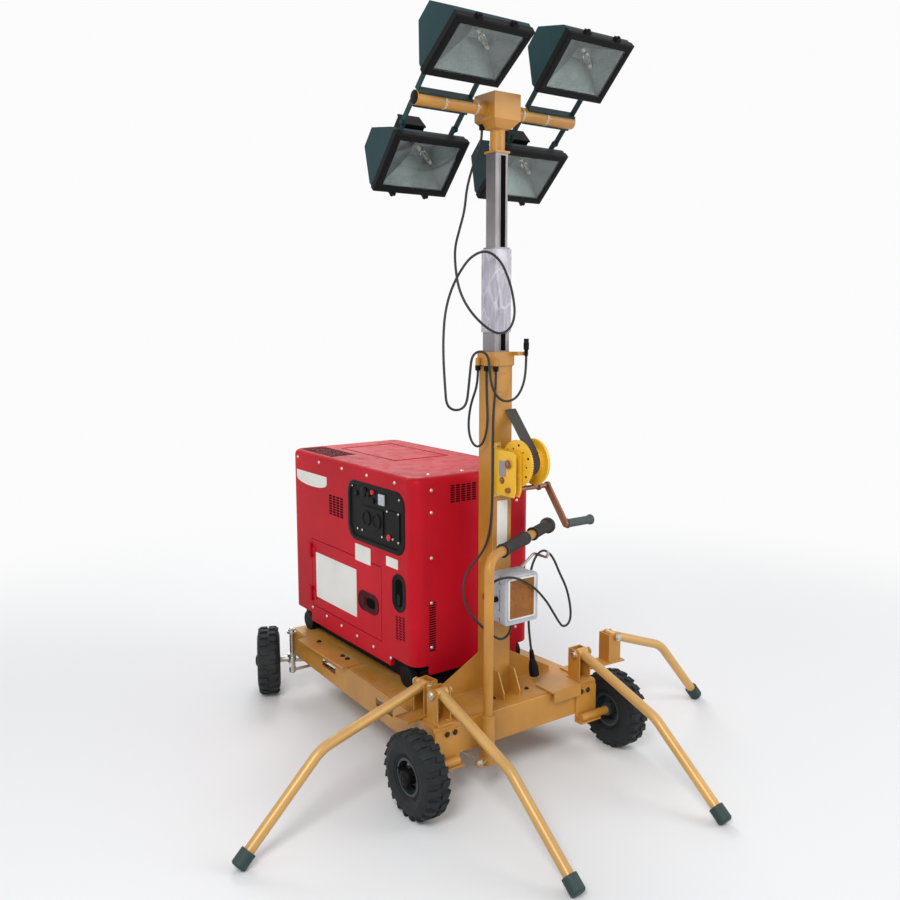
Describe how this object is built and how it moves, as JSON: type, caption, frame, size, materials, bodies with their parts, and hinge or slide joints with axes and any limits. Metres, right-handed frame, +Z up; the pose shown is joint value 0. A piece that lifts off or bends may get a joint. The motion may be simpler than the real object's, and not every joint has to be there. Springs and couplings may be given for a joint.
{
  "type": "mobile light tower",
  "caption": "Hand-towed light tower: generator on a steered wheeled frame, winch-raised mast, tilting floodlights and folding legs.",
  "frame": {"origin": "on the floor, below the middle of the space the tower takes as it stands", "axes": "+Z up, +X to the right, +Y to the rear: the mast, winch and handle are at the front, towards -Y"},
  "size_m": [1.9879, 1.873, 2.389],
  "materials": {
    "box_plastic": "light grey moulded plastic",
    "canopy_paint": "red enamel",
    "cord_rubber": "black cable sheath",
    "crank_steel": "copper brown passivated steel",
    "film": "thin wound plastic film",
    "foot_rubber": "dark green rubber",
    "frame_paint": "satin amber yellow paint",
    "grip_rubber": "black rubber",
    "lamp_glass": "clear tempered glass",
    "lamp_paint": "dark blue-green enamel",
    "leg_paint": "satin pale gold paint",
    "mast_metal": "plain zinc grey steel",
    "panel_black": "black moulded plastic",
    "rim_black": "dark painted pressed steel",
    "strap_webbing": "dark woven webbing",
    "tray_black": "black enamel",
    "tyre_rubber": "black rubber",
    "winch_paint": "bright yellow paint",
    "window_amber": "smoked clear cover",
    "zinc_steel": "zinc plated steel"
  },
  "bodies": {
    "chassis": {"control_box": "box_plastic", "control_box_window": "window_amber", "cord_main": "cord_rubber", "cord_spare": "cord_rubber", "cord_supply": "cord_rubber", "cross_beams": "frame_paint", "deck": "frame_paint", "front_axles": "frame_paint", "gen_base": "tray_black", "gen_canopy": "canopy_paint", "gen_panel": "panel_black", "kingpins": "zinc_steel", "leg_brackets": "frame_paint", "mast_outer": "frame_paint", "plug_supply": "cord_rubber", "rail_left": "frame_paint", "rail_right": "frame_paint", "winch_frame": "winch_paint", "winch_strap": "strap_webbing"},
    "wheel_front_left": {"tyre_front_left": "tyre_rubber", "rim_front_left": "rim_black"},
    "wheel_front_right": {"tyre_front_right": "tyre_rubber", "rim_front_right": "rim_black"},
    "wheel_rear_left": {"tyre_rear_left": "tyre_rubber", "rim_rear_left": "rim_black"},
    "wheel_rear_right": {"tyre_rear_right": "tyre_rubber", "rim_rear_right": "rim_black"},
    "steer_left": {"knuckle_left": "zinc_steel"},
    "steer_right": {"knuckle_right": "zinc_steel"},
    "tiller": {"handle": "frame_paint", "handle_grips": "grip_rubber"},
    "drag_rod": {"drag_link": "zinc_steel"},
    "cross_rod": {"tie_rod": "zinc_steel"},
    "outrigger_left": {"leg_left": "leg_paint", "foot_left": "foot_rubber"},
    "outrigger_right": {"leg_right": "leg_paint", "foot_right": "foot_rubber"},
    "outrigger_front_left": {"leg_front_left": "leg_paint", "foot_front_left": "foot_rubber"},
    "outrigger_front_right": {"leg_front_right": "leg_paint", "foot_front_right": "foot_rubber"},
    "mast_stage_2": {"mast_middle": "mast_metal", "mast_wrap": "film"},
    "mast_stage_3": {"mast_top": "mast_metal", "head_neck": "frame_paint", "cord_lamps": "cord_rubber", "connector_lamps": "cord_rubber"},
    "lamp_bar": {"crossarm": "frame_paint", "yokes": "lamp_paint"},
    "floodlight_upper_left": {"lamp_upper_left": "lamp_paint", "lamp_glass_upper_left": "lamp_glass"},
    "floodlight_upper_right": {"lamp_upper_right": "lamp_paint", "lamp_glass_upper_right": "lamp_glass"},
    "floodlight_lower_left": {"lamp_lower_left": "lamp_paint", "lamp_glass_lower_left": "lamp_glass"},
    "floodlight_lower_right": {"lamp_lower_right": "lamp_paint", "lamp_glass_lower_right": "lamp_glass"},
    "winch_spool": {"winch_drum": "winch_paint"},
    "winch_handle": {"winch_crank": "crank_steel"},
    "service_door": {"gen_door": "canopy_paint"}
  },
  "joints": [
    {"name": "spin_front_left", "type": "hinge", "parent": "chassis", "child": "wheel_front_left", "pos_m": [-0.42, -0.336, 0.134], "axis": [1, 0, 0], "continuous": true},
    {"name": "spin_rear_left", "type": "hinge", "parent": "steer_left", "child": "wheel_rear_left", "pos_m": [-0.38572, 0.80215, 0.134], "axis": [0.91, -0.4147, 0], "continuous": true},
    {"name": "spin_front_right", "type": "hinge", "parent": "chassis", "child": "wheel_front_right", "pos_m": [0.42, -0.336, 0.134], "axis": [1, 0, 0], "continuous": true},
    {"name": "spin_rear_right", "type": "hinge", "parent": "steer_right", "child": "wheel_rear_right", "pos_m": [0.38572, 0.72585, 0.134], "axis": [0.91, -0.4147, 0], "continuous": true},
    {"name": "tiller_turn", "type": "hinge", "parent": "chassis", "child": "tiller", "pos_m": [-0.155, -0.348, 0.25], "axis": [0, 0, 1], "range_deg": [-56, 0]},
    {"name": "steer_left_turn", "type": "hinge", "parent": "chassis", "child": "steer_left", "pos_m": [-0.302, 0.764, 0.134], "axis": [0, 0, 1], "range_deg": [-0.5, 49.5]},
    {"name": "steer_right_turn", "type": "hinge", "parent": "chassis", "child": "steer_right", "pos_m": [0.302, 0.764, 0.134], "axis": [0, 0, 1], "range_deg": [-0.5, 49.5]},
    {"name": "drag_rod_pivot", "type": "hinge", "parent": "tiller", "child": "drag_rod", "pos_m": [-0.21739, -0.38118, 0.13], "axis": [0, 0, 1], "range_deg": [-0.5, 56.5]},
    {"name": "cross_rod_pivot", "type": "hinge", "parent": "steer_left", "child": "cross_rod", "pos_m": [-0.33518, 0.6912, 0.122], "axis": [0, 0, 1], "range_deg": [-49.5, 0.5]},
    {"name": "fold_left", "type": "hinge", "parent": "chassis", "child": "outrigger_left", "pos_m": [-0.307, -0.205, 0.35], "axis": [-0.1271, 0.9919, 0], "range_deg": [0, 90]},
    {"name": "fold_right", "type": "hinge", "parent": "chassis", "child": "outrigger_right", "pos_m": [0.517, -0.225, 0.35], "axis": [-0.0523, -0.9986, 0], "range_deg": [0, 90]},
    {"name": "fold_front_left", "type": "hinge", "parent": "chassis", "child": "outrigger_front_left", "pos_m": [-0.3, -0.292, 0.35], "axis": [-1, 0, 0], "range_deg": [0, 90]},
    {"name": "fold_front_right", "type": "hinge", "parent": "chassis", "child": "outrigger_front_right", "pos_m": [0.3, -0.292, 0.35], "axis": [-1, 0, 0], "range_deg": [0, 90]},
    {"name": "mast_raise", "type": "slide", "parent": "chassis", "child": "mast_stage_2", "axis": [0, 0, 1], "range_m": [0, 0.95]},
    {"name": "mast_top_raise", "type": "slide", "parent": "mast_stage_2", "child": "mast_stage_3", "axis": [0, 0, 1], "range_m": [-0.005, 0.955]},
    {"name": "spool_turn", "type": "hinge", "parent": "chassis", "child": "winch_spool", "pos_m": [0, -0.297, 1.048], "axis": [1, 0, 0], "range_deg": [-5, 1188.3]},
    {"name": "crank_turn", "type": "hinge", "parent": "chassis", "child": "winch_handle", "pos_m": [0, -0.297, 0.964], "axis": [1, 0, 0], "range_deg": [-8583.8, 5]},
    {"name": "lamp_bar_tilt", "type": "hinge", "parent": "mast_stage_3", "child": "lamp_bar", "pos_m": [0, -0.178, 2.15], "axis": [1, 0, 0], "range_deg": [-45, 45]},
    {"name": "lamp_tilt_upper_left", "type": "hinge", "parent": "lamp_bar", "child": "floodlight_upper_left", "pos_m": [-0.21, -0.23598, 2.22212], "axis": [1, 0, 0], "range_deg": [-44.9, 25.1]},
    {"name": "lamp_tilt_upper_right", "type": "hinge", "parent": "lamp_bar", "child": "floodlight_upper_right", "pos_m": [0.21, -0.23598, 2.22212], "axis": [1, 0, 0], "range_deg": [-35, 35]},
    {"name": "lamp_tilt_lower_left", "type": "hinge", "parent": "lamp_bar", "child": "floodlight_lower_left", "pos_m": [-0.21, -0.10588, 2.09202], "axis": [1, 0, 0], "range_deg": [-32, 38]},
    {"name": "lamp_tilt_lower_right", "type": "hinge", "parent": "lamp_bar", "child": "floodlight_lower_right", "pos_m": [0.21, -0.10588, 2.09202], "axis": [1, 0, 0], "range_deg": [-36, 34]},
    {"name": "door_open", "type": "hinge", "parent": "chassis", "child": "service_door", "pos_m": [-0.2576, 0.666, 0.5135], "axis": [0, 0, -1], "range_deg": [0, 110]}
  ],
  "couplings": [
    {"joint": "steer_left_turn", "follows": "tiller_turn", "ratio": -0.875},
    {"joint": "steer_right_turn", "follows": "tiller_turn", "ratio": -0.875},
    {"joint": "drag_rod_pivot", "follows": "tiller_turn", "ratio": -1},
    {"joint": "cross_rod_pivot", "follows": "tiller_turn", "ratio": 0.875},
    {"joint": "mast_top_raise", "follows": "mast_raise", "ratio": 1},
    {"joint": "spool_turn", "follows": "mast_raise", "rad_per_m": 21.739},
    {"joint": "crank_turn", "follows": "mast_raise", "rad_per_m": -157.61}
  ]
}
